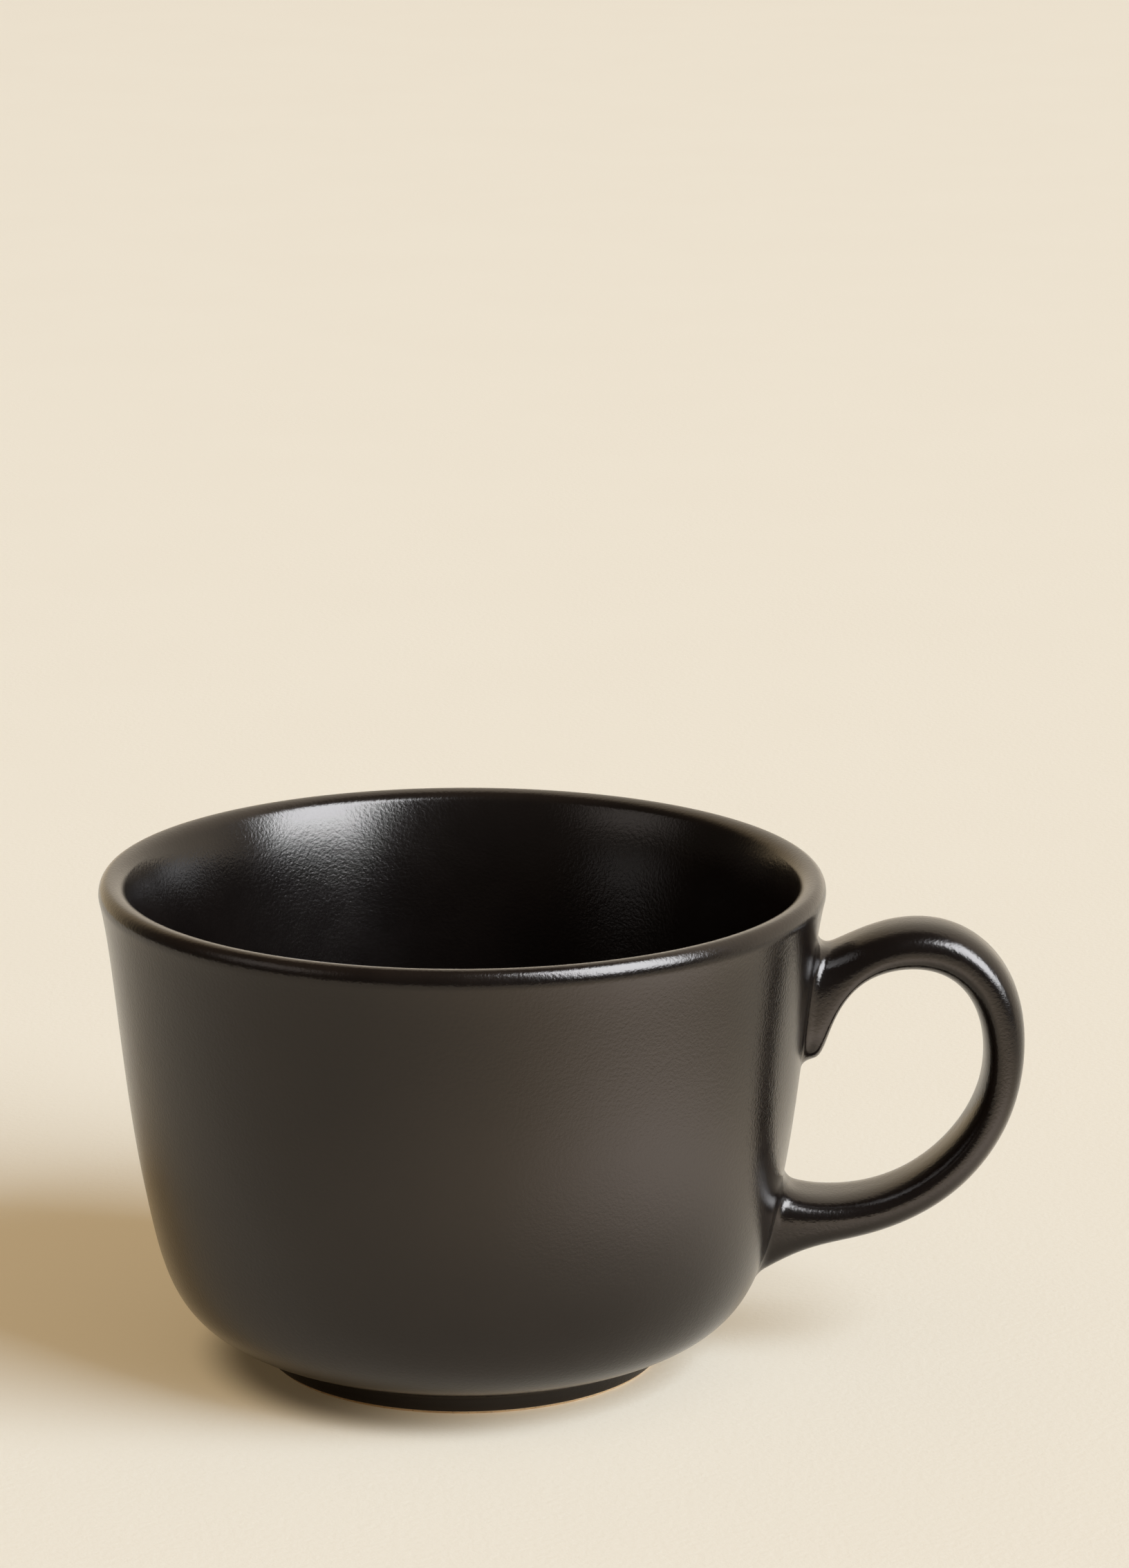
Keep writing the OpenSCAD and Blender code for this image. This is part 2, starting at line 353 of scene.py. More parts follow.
@dataclass(frozen=True)
class Glow:
    """A round patch of painted light on the floor that only the glaze mirrors."""

    place: Triple
    reach: float
    colour: Colour


@dataclass(frozen=True)
class PaperFinish:
    """Matte cream paper of the floor, with a faint fibre, a painted shadow beside the foot and patches of painted
    light that only the glaze mirrors.
    """

    name: str = "cream_paper"
    pale: Colour = (0.744, 0.668, 0.560)
    shade: Colour = (0.740, 0.663, 0.555)
    fibre_size: float = 1.2 * MM
    cloud_size: float = 60.0 * MM
    fibre_depth: float = 0.02 * MM
    roughness: float = 0.8
    glows: tuple[Glow, ...] = (
        Glow((95.0 * MM, -85.0 * MM, 0.0), 200.0 * MM, (0.93, 0.75, 0.54)),
        Glow((98.0 * MM, -72.0 * MM, 0.0), 100.0 * MM, (0.97, 0.94, 1.02)))
    glow_start: float = 55.0 * MM
    glow_full: float = 132.0 * MM
    # Painted shadow: these values darken the paper close to the foot, most on the side away from the key.
    painted_shadow_start: float = 33.0 * MM
    painted_shadow_end: float = 43.0 * MM
    painted_shadow_share: float = 0.80
    painted_shadow_way: Triple = (-0.879, 0.477, 0.0)
    lee_start: float = -0.95
    lee_full: float = 0.3
    painted_shadow_colour: Colour = (0.02, 0.013, 0.007)

    def make(self, groups: SurfaceGroups) -> Material:
        """Builds the material.

        Args:
            groups: The shared node groups.

        Returns:
            The material.
        """
        material = bpy.data.materials.new(self.name)
        wiring = Wiring.fresh(material)
        tooth, mottle = groups.add_grain(wiring, self.fibre_size, self.cloud_size)
        place = wiring.node("ShaderNodeTexCoord").outputs["Object"]
        out = wiring.vector("LENGTH", {0: place}, "Value")
        heading = wiring.vector("NORMALIZE", {0: place})
        # Painted shadow: a dark blend near the foot, strongest on the lee side of the key.
        lee = wiring.vector("DOT_PRODUCT", {0: heading, 1: self.painted_shadow_way}, "Value")
        close = wiring.math("MULTIPLY", wiring.ramp(out, self.painted_shadow_end, self.painted_shadow_start), self.painted_shadow_share)
        painted_shadow = wiring.math("MULTIPLY", wiring.ramp(lee, self.lee_start, self.lee_full), close)
        paper = wiring.blend(mottle, self.pale, self.shade)
        # Painted light: glowing patches on the paper, seen only by glossy rays, stand in for the paper's sheen towards
        # the key.
        lit = (0.0, 0.0, 0.0)
        for glow in self.glows:
            away = wiring.vector("DISTANCE", {0: place, 1: glow.place}, "Value")
            patch = wiring.vector("SCALE", {0: glow.colour, "Scale": wiring.ramp(away, glow.reach, 0.0)})
            lit = wiring.vector("ADD", {0: lit, 1: patch})
        mirrored = wiring.node("ShaderNodeLightPath").outputs["Is Glossy Ray"]
        clear = wiring.ramp(out, self.glow_start, self.glow_full)
        bump = wiring.node("ShaderNodeBump", {"Height": tooth, "Distance": self.fibre_depth})
        shader = wiring.node("ShaderNodeBsdfPrincipled", {
            "Base Color": wiring.blend(painted_shadow, paper, self.painted_shadow_colour), "Roughness": self.roughness,
            "Specular IOR Level": 0.0, "Emission Color": lit,
            "Emission Strength": wiring.math("MULTIPLY", clear, mirrored), "Normal": bump.outputs[0]})
        wiring.node("ShaderNodeOutputMaterial", {"Surface": shader.outputs[0]})
        return material


def new_object(name: str, data: ID) -> Object:
    """Puts a mesh, light or camera into the scene as an object at the origin.

    Args:
        name: Name of the object.
        data: What it shows.

    Returns:
        The object.
    """
    made = bpy.data.objects.new(name, data)
    bpy.context.scene.collection.objects.link(made)
    return made


def face_outwards(mesh: Mesh) -> None:
    """Turns a closed mesh's faces outwards if its signed volume is negative.

    Args:
        mesh: The mesh to turn.
    """
    shape = bmesh.new()
    shape.from_mesh(mesh)
    if shape.calc_volume(signed=True) < 0.0:
        bmesh.ops.reverse_faces(shape, faces=shape.faces)
        shape.to_mesh(mesh)
    shape.free()


def seat(piece: Object, slot: Slot, *nodes: str) -> None:
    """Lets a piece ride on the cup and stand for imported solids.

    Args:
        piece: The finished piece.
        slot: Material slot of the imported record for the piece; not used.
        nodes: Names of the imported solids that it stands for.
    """
    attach(piece, BODY)
    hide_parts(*nodes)
    LOG.info("%s: %d faces, stands for %s", piece.name, len(piece.data.polygons), ", ".join(nodes))


class TurnedOutline:
    """A Geometry Nodes tree that turns an outline about the Z axis, as a wheel does."""

    weld_distance = 0.002 * MM

    def __init__(self) -> None:
        """Builds the tree with named inputs for its sizes."""
        tree = bpy.data.node_groups.new("Turned outline", "GeometryNodeTree")
        kinds = {"Outline": "Geometry", "Steps around": "Int", "Weld distance": "Float", "Finish": "Material"}
        self.keys = {
            name: tree.interface.new_socket(name, in_out="INPUT", socket_type=f"NodeSocket{kind}").identifier
            for name, kind in kinds.items()}
        tree.interface.new_socket("Surface", in_out="OUTPUT", socket_type="NodeSocketGeometry")
        self.tree = tree
        wiring = Wiring(tree)
        given = wiring.node("NodeGroupInput").outputs
        size = wiring.node("GeometryNodeAttributeDomainSize", {"Geometry": given["Outline"]}, component="MESH")
        columns = wiring.math("ADD", given["Steps around"], 1.0)
        grid = wiring.node("GeometryNodeMeshGrid", {"Vertices X": size.outputs["Point Count"], "Vertices Y": columns})
        index = wiring.node("GeometryNodeInputIndex").outputs[0]
        outline_step = wiring.math("FLOOR", wiring.math("DIVIDE", wiring.math("ADD", index, 0.5), columns))
        turn_step = wiring.math("SUBTRACT", index, wiring.math("MULTIPLY", outline_step, columns))
        angle = wiring.math("DIVIDE", wiring.math("MULTIPLY", turn_step, math.tau), given["Steps around"])
        sample = wiring.node("GeometryNodeSampleIndex", {
            "Geometry": given["Outline"], "Index": outline_step}, data_type="FLOAT_VECTOR", domain="POINT")
        value = next(s for s in sample.inputs if s.name == "Value" and s.enabled)
        wiring.feed(value, wiring.node("GeometryNodeInputPosition").outputs[0])
        found = next(s for s in sample.outputs if s.enabled)
        point = wiring.node("ShaderNodeSeparateXYZ", {0: found}).outputs
        place = wiring.node("ShaderNodeCombineXYZ", {
            "X": wiring.math("MULTIPLY", point["X"], wiring.math("COSINE", angle)),
            "Y": wiring.math("MULTIPLY", point["X"], wiring.math("SINE", angle)),
            "Z": point["Z"]})
        turned = wiring.node("GeometryNodeSetPosition", {
            "Geometry": grid.outputs["Mesh"], "Position": place.outputs[0]})
        welded = wiring.node("GeometryNodeMergeByDistance", {
            "Geometry": turned.outputs[0], "Distance": given["Weld distance"]})
        smooth = wiring.node("GeometryNodeSetShadeSmooth", {"Geometry": welded.outputs[0]})
        real = wiring.node("GeometryNodeRealizeInstances", {"Geometry": smooth.outputs[0]})
        dressed = wiring.node("GeometryNodeSetMaterial", {"Geometry": real.outputs[0], "Material": given["Finish"]})
        wiring.node("NodeGroupOutput", {"Surface": dressed.outputs[0]})

    def turn(self, name: str, outline: Array, steps: int, finish: Material) -> Object:
        """Turns an outline that starts and ends on the axis into a closed piece.

        Args:
            name: Name of the piece.
            outline: Radius and height of each point.
            steps: Number of steps around the axis.
            finish: Material of the piece.

        Returns:
            The piece, as a plain mesh.
        """
        guide = bpy.data.meshes.new(f"{name}_outline")
        points = [(float(r), 0.0, float(z)) for r, z in outline]
        guide.from_pydata(points, [(i, i + 1) for i in range(len(points) - 1)], [])
        piece = new_object(name, guide)
        modifier = piece.modifiers.new("Turned outline", "NODES")
        modifier.node_group = self.tree
        for key, value in (("Steps around", steps), ("Weld distance", self.weld_distance), ("Finish", finish)):
            modifier[self.keys[key]] = value
        whole = piece.evaluated_get(bpy.context.evaluated_depsgraph_get())
        mesh = bpy.data.meshes.new_from_object(whole)
        piece.modifiers.remove(modifier)
        piece.data = mesh
        mesh.name = name
        bpy.data.meshes.remove(guide)
        face_outwards(mesh)
        return piece


@dataclass
class ThrownBowl:
    """The clay bowl on its foot ring, with the coats of glaze on it."""

    rim_r: float
    height: float
    belly_r: float = 49.0 * MM
    belly_h: float = 28.8 * MM
    belly_lean: float = 10.6
    lip_t: float = 4.2 * MM
    lip_round_h: float = 2.2 * MM
    lip_round_w: float = 1.5 * MM
    lip_lean: float = 14.0
    lip_inner_lean: float = 24.0
    wall_t: float = 5.1 * MM
    floor_t: float = 5.2 * MM
    floor_flat_r: float = 17.0 * MM
    foot_r: float = 30.5 * MM
    foot_h: float = 3.9 * MM
    foot_ring_w: float = 4.2 * MM
    recess_h: float = 2.6 * MM
    bare_edge_h: float = 0.5 * MM
    underside_slope: float = 15.5
    glaze_t: float = 0.4 * MM
    under_reach: float = 12.5 * MM
    belly_reach_down: float = 15.6 * MM
    belly_reach_up: float = 16.6 * MM
    lip_reach: float = 8.0 * MM
    lip_inner_reach: float = 9.0 * MM
    inner_reach: float = 15.0 * MM
    foot_bend_w: float = 2.2 * MM
    foot_bend_h: float = 1.7 * MM
    foot_bend_reach: float = 1.0 * MM
    recess_bend_w: float = 1.6 * MM
    recess_bend_h: float = 0.9 * MM
    recess_bend_reach: float = 0.6 * MM
    edge_round_share: float = 0.8
    floor_shares: tuple[float, ...] = (0.75, 0.5, 0.25, 0.0)
    recess_shares: tuple[float, ...] = (0.7, 0.35, 0.0)
    wall_steps: int = 40
    lip_steps: int = 24
    bend_steps: int = 10
    edge_steps: int = 6
    turns: int = 192

    @classmethod
    def from_frame(cls) -> "ThrownBowl":
        """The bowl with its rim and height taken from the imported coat."""
        low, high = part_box("outer_glaze")
        return cls(rim_r=-low.x, height=high.z)

    def lip_axes(self, degrees: float) -> Array:
        """Half axes of the lip's ellipse, which is narrower outside its top than inside."""
        return np.array([self.lip_t - self.lip_round_w if degrees > LIP_TOP else self.lip_round_w, self.lip_round_h])

    def lip_point(self, degrees: float) -> Array:
        """A point of the rounded lip, by its angle from the outward direction."""
        middle = np.array([self.rim_r - self.lip_round_w, self.height - self.lip_round_h])
        return middle + self.lip_axes(degrees) * along(degrees)

    def lip_run(self, degrees: float) -> Array:
        """Direction in which the lip's outline runs at an angle."""
        return unit(self.lip_axes(degrees) * along(degrees + 90.0))

    def lip_angle(self, lean: float, width: float) -> float:
        """Angle on the lip's ellipse, past its widest place, where the outline leans by some degrees."""
        return math.degrees(math.atan(math.tan(math.radians(lean)) * self.lip_round_h / width))

    def lip_arc(self, first: float, last: float) -> Array:
        """Points of the lip from one angle to another."""
        return np.array([self.lip_point(a) for a in np.linspace(first, last, self.lip_steps + 1)])

    def belly(self) -> tuple[Array, Array]:
        """The point where the bottom turns into the wall, and the outline's direction there."""
        return np.array([self.belly_r, self.belly_h]), along(90.0 - self.belly_lean)

    def outer_outline(self) -> Array:
        """Outline over the glaze, from the foot's bend to the top of the lip.

        Returns:
            The points.
        """
        belly, run = self.belly()
        slope = along(self.underside_slope)
        corner = np.array([self.foot_r, self.foot_h - self.foot_bend_h])
        under = np.array([self.foot_r + self.foot_bend_w, self.foot_h])
        first = -self.lip_angle(self.lip_lean, self.lip_round_w)
        start = self.lip_point(first)
        upward = np.array([0.0, self.foot_bend_reach])
        foot = bezier(corner, corner + upward, under - self.foot_bend_reach * slope, under, self.bend_steps)
        bottom = bezier(under, under + self.under_reach * slope, belly - self.belly_reach_down * run, belly,
                        self.wall_steps)
        wall = bezier(belly, belly + self.belly_reach_up * run,
                      start - self.lip_reach * self.lip_run(first), start, self.wall_steps)
        return np.vstack([foot[:-1], bottom[:-1], wall[:-1], self.lip_arc(first, LIP_TOP)])

    def inner_outline(self) -> Array:
        """Outline over the glaze, from the top of the lip to the edge of the flat floor.

        Returns:
            The points.
        """
        belly, run = self.belly()
        inner_belly = belly + self.wall_t * np.array([-run[1], run[0]])
        floor = np.array([self.floor_flat_r, self.recess_h + self.floor_t])
        last = 180.0 - self.lip_angle(self.lip_inner_lean, self.lip_t - self.lip_round_w)
        end = self.lip_point(last)
        wall = bezier(end, end + self.lip_inner_reach * self.lip_run(last), inner_belly + self.inner_reach * run,
                      inner_belly, self.wall_steps)
        bend = bezier(inner_belly, inner_belly - self.inner_reach * run,
                      floor + np.array([self.inner_reach, 0.0]), floor, self.wall_steps)
        return np.vstack([self.lip_arc(LIP_TOP, last)[:-1], wall[:-1], bend])

    def skin(self) -> Array:
        """Outline of the whole glazed surface, from the foot's bend to the edge of the flat floor."""
        return np.vstack([self.outer_outline()[:-1], self.inner_outline()])

    def flat_middle(self, height: float) -> Array:
        """Points from the edge of the flat floor to the axis, at a height."""
        return np.array([(self.floor_flat_r * share, height) for share in self.floor_shares])

    def recess_outline(self, inset: float) -> Array:
        """Outline of the recess inside the foot ring, from its bare edge to the axis.

        Args:
            inset: How deep under the surface of the glaze the outline lies.

        Returns:
            The points.
        """
        ring = self.foot_r - self.foot_ring_w
        corner = np.array([ring, self.recess_h - self.recess_bend_h])
        ceiling = np.array([ring - self.recess_bend_w, self.recess_h])
        bend = bezier(corner, corner + np.array([0.0, self.recess_bend_reach]),
                      ceiling + np.array([self.recess_bend_reach, 0.0]), ceiling, self.bend_steps)
        path = moved(np.vstack([[(ring, self.bare_edge_h)], bend]), -inset)
        return np.vstack([path, [(share * ceiling[0], path[-1, 1]) for share in self.recess_shares]])

    def coat_outline(self) -> Array:
        """Closed outline of the coat on the outside, lip and inside, rounded off above the bare foot.

        Returns:
            The points.
        """
        skin = self.skin()
        back = moved(skin, self.glaze_t)[::-1]
        floor_z = self.recess_h + self.floor_t
        bead = self.glaze_t / 2
        middle = np.array([self.foot_r - bead, self.bare_edge_h + bead])
        edge = np.array([middle + bead * along(a) for a in np.linspace(180.0, 360.0, self.bend_steps + 1)])
        return np.vstack([self.flat_middle(floor_z - self.glaze_t)[::-1], back, edge, skin, self.flat_middle(floor_z)])

    def clay_outline(self) -> Array:
        """Closed outline of the clay, from the recess round the foot and the wall to the floor.

        Returns:
            The points.
        """
        recess = self.recess_outline(self.glaze_t)[::-1]
        bead = self.edge_round_share * self.bare_edge_h
        rounds = ((recess[-1, 0] + bead, 180.0), (self.foot_r - self.glaze_t - bead, 270.0))
        foot = [np.array([middle, bead]) + bead * along(a) for middle, start in rounds
                for a in np.linspace(start, start + 90.0, self.edge_steps + 1)]
        floor = self.flat_middle(self.recess_h + self.floor_t - self.glaze_t)
        return np.vstack([recess, foot, moved(self.skin(), self.glaze_t), floor])

    def base_outline(self) -> Array:
        """Closed outline of the patch of glaze inside the foot ring."""
        return np.vstack([self.recess_outline(self.glaze_t)[::-1], self.recess_outline(0.0)])

    def wall_radius(self, height: Array) -> Array:
        """Radius of the outside over the glaze at some heights."""
        outline = self.outer_outline()
        return np.interp(height, outline[:, 1], outline[:, 0])

    def on_wall(self, points: Array, sink: float = 0.0) -> Array:
        """Points brought straight out or in to the outside of the wall, or sunk under it."""
        reach = (self.wall_radius(points[..., 2]) - sink) / np.hypot(points[..., 0], points[..., 1])
        return np.stack([points[..., 0] * reach, points[..., 1] * reach, points[..., 2]], axis=-1)

    def wall_normal(self, points: Array) -> Array:
        """Outward direction of the wall's surface.

        Args:
            points: Places on the wall.

        Returns:
            The direction at each place.
        """
        step = 0.2 * MM
        rise = (self.wall_radius(points[..., 2] + step) - self.wall_radius(points[..., 2] - step)) / (2 * step)
        return unit(np.concatenate([unit(points[..., :2]), -rise[..., None]], axis=-1))

    def build(self, wheel: TurnedOutline, glaze: Material, clay: Material) -> None:
        """Turns the clay and its coats.

        Args:
            wheel: The tree that turns an outline.
            glaze: Material of the coats.
            clay: Material of the bare clay.
        """
        seat(wheel.turn("clay_bowl", self.clay_outline(), self.turns, clay), Slot.CLAY, "cup_body")
        seat(wheel.turn("bowl_coat", self.coat_outline(), self.turns, glaze), Slot.GLAZE,
             "outer_glaze", "inner_glaze")
        seat(wheel.turn("base_coat", self.base_outline(), self.turns, glaze), Slot.GLAZE, "base_glaze")


@dataclass
class LoopHandle:
    """The loop handle, its coat of glaze and the slip that holds its two roots on the wall."""

    bowl: ThrownBowl
    finger_gap_w: float = 28.2 * MM
    finger_gap_h: float = 35.8 * MM
    finger_gap_z: float = 25.5 * MM
    strap_w: float = 13.0 * MM
    crown_t: float = 8.0 * MM
    side_t: float = 6.5 * MM
    sweep_t: float = 7.1 * MM
    upper_root_h: float = 18.0 * MM
    lower_root_h: float = 15.2 * MM
    root_spread: float = 0.8 * MM
    root_sink: float = 3.0 * MM
    upper_root_up: float = 0.638
    lower_root_up: float = 0.085
    tail_run: float = 3.5 * MM
    strap_square: float = 2.5
    root_square: float = 3.4
    side_fillet: float = 1.5 * MM
    saddle_fillet: float = 3.2 * MM
    tongue_fillet: float = 1.7 * MM
    corner_fillet: float = 3.0 * MM
    tail_fillet: float = 1.4 * MM
    fillet_fullness: float = 0.6
    coat_sink: float = 0.3 * MM
    bed_sink: float = 0.05 * MM
    bed_shares: tuple[float, ...] = (0.04, 0.35, 0.7, 1.0)
    skirt: float = 0.5 * MM
    skirt_sink: float = 0.03 * MM
    sides: int = 96
    steps: int = 150
    fillet_steps: int = 9
    samples: int = 1201
    halvings: int = 24
    slides: int = 40
    slide_share: float = 0.7
    first_slide: float = 1e-4
    probe: float = 1e-3

    def __post_init__(self) -> None:
        """Works out the rows with mirrored ends, and the angles around the section."""
        rows = self.rows()
        self.last = len(rows) - 1
        self.padded = np.vstack([2 * rows[0] - rows[1], rows, 2 * rows[-1] - rows[-2]])
        self.angles = math.tau * (np.arange(self.sides) + 0.5) / self.sides

    def rows(self) -> Array:
        """Rows that the loop runs near, the same as in the part's source.

        Returns:
            For each row its gap edge, its outer edge, and the half width and squareness of its section.
        """
        gap_wall_r = float(self.bowl.wall_radius(self.finger_gap_z + self.finger_gap_h / 2))

        def row(out: float, up: float, lean: float, thick: float, spread: float, square: float) -> Array:
            """A row by its gap edge as shares of the finger gap, and the section's lean and thickness."""
            gap = np.array([gap_wall_r + out * self.finger_gap_w, self.finger_gap_z + up * self.finger_gap_h])
            return np.concatenate([gap, gap + thick * along(lean), [self.strap_w / 2 + spread, square]])

        def root_row(up: float, height: float) -> Array:
            """A row sunk in the wall, by the share of the gap edge's height and a signed height."""
            z = self.finger_gap_z + up * self.finger_gap_h + np.array([0.0, height])
            return np.array([*np.stack([self.bowl.wall_radius(z) - self.root_sink, z], axis=1).flat,
                             self.strap_w / 2 + self.root_spread, self.root_square])

        spread, strap, block = self.root_spread, self.strap_square, self.root_square
        return np.array([
            root_row(self.upper_root_up, self.upper_root_h),
            row(0.118, 0.573, 95.0, 0.925 * self.upper_root_h, spread, block),
            row(0.153, 0.76, 73.2, 0.805 * self.upper_root_h, 0.0, strap),
            row(0.312, 0.975, 48.3, 1.465 * self.crown_t, 0.0, strap),
            row(0.722, 1.03, 40.4, self.crown_t, 0.0, strap),
            row(0.984, 0.851, 13.3, 1.145 * self.side_t, 0.0, strap),
            row(1.034, 0.467, -35.5, self.side_t, 0.0, strap),
            row(0.765, 0.153, -67.8, self.sweep_t, 0.0, strap),
            row(0.406, 0.003, -96.6, self.sweep_t, 0.0, strap),
            row(0.02, -0.012, -87.3, self.sweep_t, spread, block),
            root_row(self.lower_root_up, -self.lower_root_h - self.tail_run),
        ])

    def surface(self, t: Array, inset: float) -> Array:
        """Places on the handle's surface, or on one that lies under it.

        Args:
            t: Place along the rows, with the side of the section as the last axis.
            inset: How deep under the surface of the glaze the places lie.

        Returns:
            The places.
        """
        i = np.clip(np.floor(t).astype(int), 0, self.last - 1)
        u = (t - i)[..., None]
        p = self.padded
        s = ((1 - u) ** 3 * p[i] + (3 * u ** 3 - 6 * u * u + 4) * p[i + 1]
             + (-3 * u ** 3 + 3 * u * u + 3 * u + 1) * p[i + 2] + u ** 3 * p[i + 3]) / 6
        gap, far = s[..., 0:2], s[..., 2:4]
        power = 2 / s[..., 5]
        sine, cosine = np.sin(self.angles), np.cos(self.angles)
        half_t = np.linalg.norm(far - gap, axis=-1) / 2 - inset
        across = (half_t * np.sign(sine) * np.abs(sine) ** power)[..., None] * unit(far - gap)
        middle = (gap + far) / 2 + across
        aside = (s[..., 4] - inset) * np.sign(cosine) * np.abs(cosine) ** power
        return np.stack([middle[..., 0], aside, middle[..., 1]], axis=-1)

    def leaving(self, root: Root, inset: float, sink: float) -> Array:
        """Where each side of the section comes out of the wall.

        Args:
            root: Which root.
            inset: How deep under the surface of the glaze the sides lie.
            sink: How deep under the wall's surface the crossing is looked for.

        Returns:
            The place along the rows for each side.
        """
        samples = np.linspace(0.0, self.last, self.samples)
        if root is Root.LOWER:
            samples = samples[::-1]

        def clear(t: Array) -> Array:
            """Distance of the sides from the wall."""
            p = self.surface(t, inset)
            return np.hypot(p[..., 0], p[..., 1]) - self.bowl.wall_radius(p[..., 2]) + sink

        first = np.argmax(clear(np.repeat(samples[:, None], self.sides, axis=1)) > 0.0, axis=0)
        inner, outer = samples[first - 1], samples[first]
        for _ in range(self.halvings):
            half = (inner + outer) / 2
            free = clear(half) > 0.0
            inner, outer = np.where(free, inner, half), np.where(free, half, outer)
        return (inner + outer) / 2

    def fillet(self, root: Root) -> tuple[Array, Array]:
        """The smooth bend of glazed slip between a root and the wall.

        Args:
            root: Which root.

        Returns:
            Rings from the wall to the handle, and the place along the rows where they end on it.
        """
        away = 1.0 if root is Root.UPPER else -1.0
        meet_t = self.leaving(root, 0.0, 0.0)
        meet = self.surface(meet_t, 0.0)
        run = unit(np.roll(meet, -1, axis=0) - np.roll(meet, 1, axis=0))
        outward = unit(np.cross(run, self.bowl.wall_normal(meet)))
        outward *= np.sign(np.sum(outward * (meet - meet.mean(axis=0)), axis=1, keepdims=True))
        up = outward[:, 2]
        top, bottom = ((self.saddle_fillet, self.tongue_fillet) if root is Root.UPPER
                       else (self.corner_fillet, self.tail_fillet))
        size = (self.side_fillet + (top - self.side_fillet) * np.clip(up, 0.0, 1.0) ** 3
                + (bottom - self.side_fillet) * np.clip(-up, 0.0, 1.0) ** 3)

        def onward(t: Array) -> Array:
            """How the sides move along the rows, per row."""
            return (self.surface(t + self.probe, 0.0) - self.surface(t - self.probe, 0.0)) / (2 * self.probe)

        t = meet_t + away * self.first_slide
        for _ in range(self.slides):
            reached = np.linalg.norm(self.surface(t, 0.0) - meet, axis=1)
            t = t + away * self.slide_share * (size - reached) / np.linalg.norm(onward(t), axis=1)
        on_arm = self.surface(t, 0.0)
        arm_run = away * unit(onward(t))
        on_wall = self.bowl.on_wall(meet + size[:, None] * outward)
        wall_normal = self.bowl.wall_normal(on_wall)
        wall_run = unit(outward - np.sum(outward * wall_normal, axis=1, keepdims=True) * wall_normal)
        reach = self.fillet_fullness * size[:, None]
        bend = bezier(on_wall, on_wall - reach * wall_run, on_arm - reach * arm_run, on_arm, self.fillet_steps)
        edge = self.bowl.on_wall(on_wall + self.skirt * wall_run, self.skirt_sink)
        return np.concatenate([edge[None], bend]), t

    def arm(self, first: Array, last: Array, inset: float, steps: int) -> Array:
        """Rings of the loop between two places along its rows, at an inset under the surface of the glaze."""
        share = np.linspace(0.0, 1.0, steps + 1)[:, None]
        return self.surface(first * (1 - share) + last * share, inset)

    def tube(self, name: str, rings: Array, closed: bool, finish: Material) -> Object:
        """A piece skinned over rings.

        Args:
            name: Name of the piece.
            rings: Points by ring and side.
            closed: Whether the last ring joins the first, or both ends are capped with a fan.
            finish: Material of the piece.

        Returns:
            The piece.
        """
        count, sides = rings.shape[:2]
        points = rings.reshape(-1, 3).tolist()
        faces = []
        for r in range(count if closed else count - 1):
            low, high = r * sides, (r + 1) % count * sides
            faces += [(low + j, low + (j + 1) % sides, high + (j + 1) % sides, high + j) for j in range(sides)]
        if not closed:
            for low, ring in ((0, rings[0]), ((count - 1) * sides, rings[-1])):
                points.append(ring.mean(axis=0).tolist())
                fan = [(low + (j + 1) % sides, low + j, len(points) - 1) for j in range(sides)]
                faces += fan if low == 0 else [f[::-1] for f in fan]
        mesh = bpy.data.meshes.new(name)
        mesh.from_pydata(points, [], faces)
        mesh.materials.append(finish)
        mesh.shade_smooth()
        mesh.validate()
        face_outwards(mesh)
        return new_object(name, mesh)

    def slip_bed(self, name: str, root: Root, finish: Material) -> Object:
        """The thin bed of slip between a root and the clay wall.

        Args:
            name: Name of the piece.
            root: Which root.
            finish: Material of the slip.

        Returns:
            The piece.
        """
        meet = self.surface(self.leaving(root, self.bowl.glaze_t, 0.0), self.bowl.glaze_t)
        middle = meet.mean(axis=0)
        shares = np.array(self.bed_shares)[:, None, None]
        spread = middle + shares * (meet - middle)
        over = self.bowl.on_wall(spread, self.bed_sink)
        under = self.bowl.on_wall(spread, self.bowl.glaze_t)
        return self.tube(name, np.concatenate([over, under[::-1]]), False, finish)

    def build(self, glaze: Material, clay: Material, slip: Material) -> None:
        """Makes the clay loop, its coat and the two beds of slip.

        Args:
            glaze: Material of the coat.
            clay: Material of the loop.
            slip: Material of the beds.
        """

        def core(sink: float) -> Array:
            """Rings of the loop under its coat, which start and stop some way into the wall."""
            first, last = (self.leaving(root, self.bowl.glaze_t, sink) for root in Root)
            return self.arm(first, last, self.bowl.glaze_t, self.steps // 2)

        upper, upper_t = self.fillet(Root.UPPER)
        lower, lower_t = self.fillet(Root.LOWER)
        outside = np.concatenate([upper[:-1], self.arm(upper_t, lower_t, 0.0, self.steps), lower[::-1][1:]])
        skin = np.concatenate([outside, core(self.coat_sink)[::-1]])
        seat(self.tube("handle_coat", skin, True, glaze), Slot.GLAZE, "handle_glaze")
        seat(self.tube("clay_handle", core(0.0), False, clay), Slot.CLAY, "handle")
        seat(self.slip_bed("upper_slip_bed", Root.UPPER, slip), Slot.SLIP, "upper_slip_joint")
        seat(self.slip_bed("lower_slip_bed", Root.LOWER, slip), Slot.SLIP, "lower_slip_joint")


